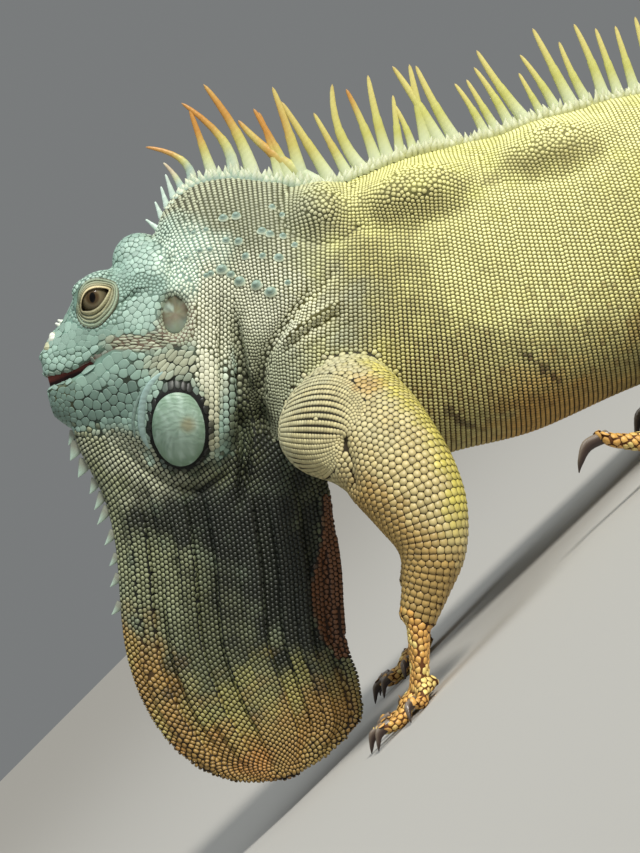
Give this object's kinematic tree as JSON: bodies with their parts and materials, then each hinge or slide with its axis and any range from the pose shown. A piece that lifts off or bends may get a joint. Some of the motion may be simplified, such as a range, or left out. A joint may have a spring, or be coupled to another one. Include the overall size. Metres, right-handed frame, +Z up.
{
  "type": "iguana model",
  "caption": "Life-size still model of an adult male green iguana, chest raised on its forelegs, with spined back, hanging throat fan and long tail lying on the floor.",
  "frame": {"origin": "on the floor, in the middle of the flat of the belly between the thighs", "axes": "+X from nose to tail, -Y the animal's left side, +Z up"},
  "size_m": [1.3287, 0.2874, 0.3084],
  "materials": {
    "head_skin": "matt, finely scaled skin, turquoise green",
    "neck_skin": "matt, beaded skin, pale mint",
    "trunk_skin": "matt, beaded skin, lime yellow to olive",
    "tail_skin": "matt, scaled skin with dark bands",
    "dewlap_skin": "matt, thin scaled skin, dark green to golden brown",
    "limb_skin": "matt, scaled skin, yellow to tan",
    "hand_skin": "matt, scaled skin, orange",
    "mouth": "moist, red",
    "eye": "wet, olive-brown iris with a dark pupil",
    "eardrum": "thin, satin membrane, whitish",
    "cheek_plate": "smooth horn plate, pale green",
    "claw": "polished horn, grey to dark brown"
  },
  "bodies": {
    "root": {"dewlap": "dewlap_skin", "eye_left": "eye", "eye_right": "eye", "foot_claw_1_left": "claw", "foot_claw_1_right": "claw", "foot_claw_2_left": "claw", "foot_claw_2_right": "claw", "foot_claw_3_left": "claw", "foot_claw_3_right": "claw", "foot_claw_4_left": "claw", "foot_claw_4_right": "claw", "foot_claw_5_left": "claw", "foot_claw_5_right": "claw", "foot_left": "hand_skin", "foot_right": "hand_skin", "forearm_left": "limb_skin", "forearm_right": "limb_skin", "hand_claw_1_left": "claw", "hand_claw_1_right": "claw", "hand_claw_2_left": "claw", "hand_claw_2_right": "claw", "hand_claw_3_left": "claw", "hand_claw_3_right": "claw", "hand_claw_4_left": "claw", "hand_claw_4_right": "claw", "hand_claw_5_left": "claw", "hand_claw_5_right": "claw", "hand_left": "hand_skin", "hand_right": "hand_skin", "head": "head_skin", "lower_jaw": "head_skin", "mouth_lining": "mouth", "neck": "neck_skin", "shank_left": "limb_skin", "shank_right": "limb_skin", "shield_left": "cheek_plate", "shield_right": "cheek_plate", "tail_1": "tail_skin", "tail_2": "tail_skin", "tail_3": "tail_skin", "tail_4": "tail_skin", "tail_5": "tail_skin", "tail_6": "tail_skin", "thigh_left": "limb_skin", "thigh_right": "limb_skin", "torso_front": "trunk_skin", "torso_rear": "trunk_skin", "tympanum_left": "eardrum", "tympanum_right": "eardrum", "upper_arm_left": "limb_skin", "upper_arm_right": "limb_skin"}
  },
  "joints": []
}
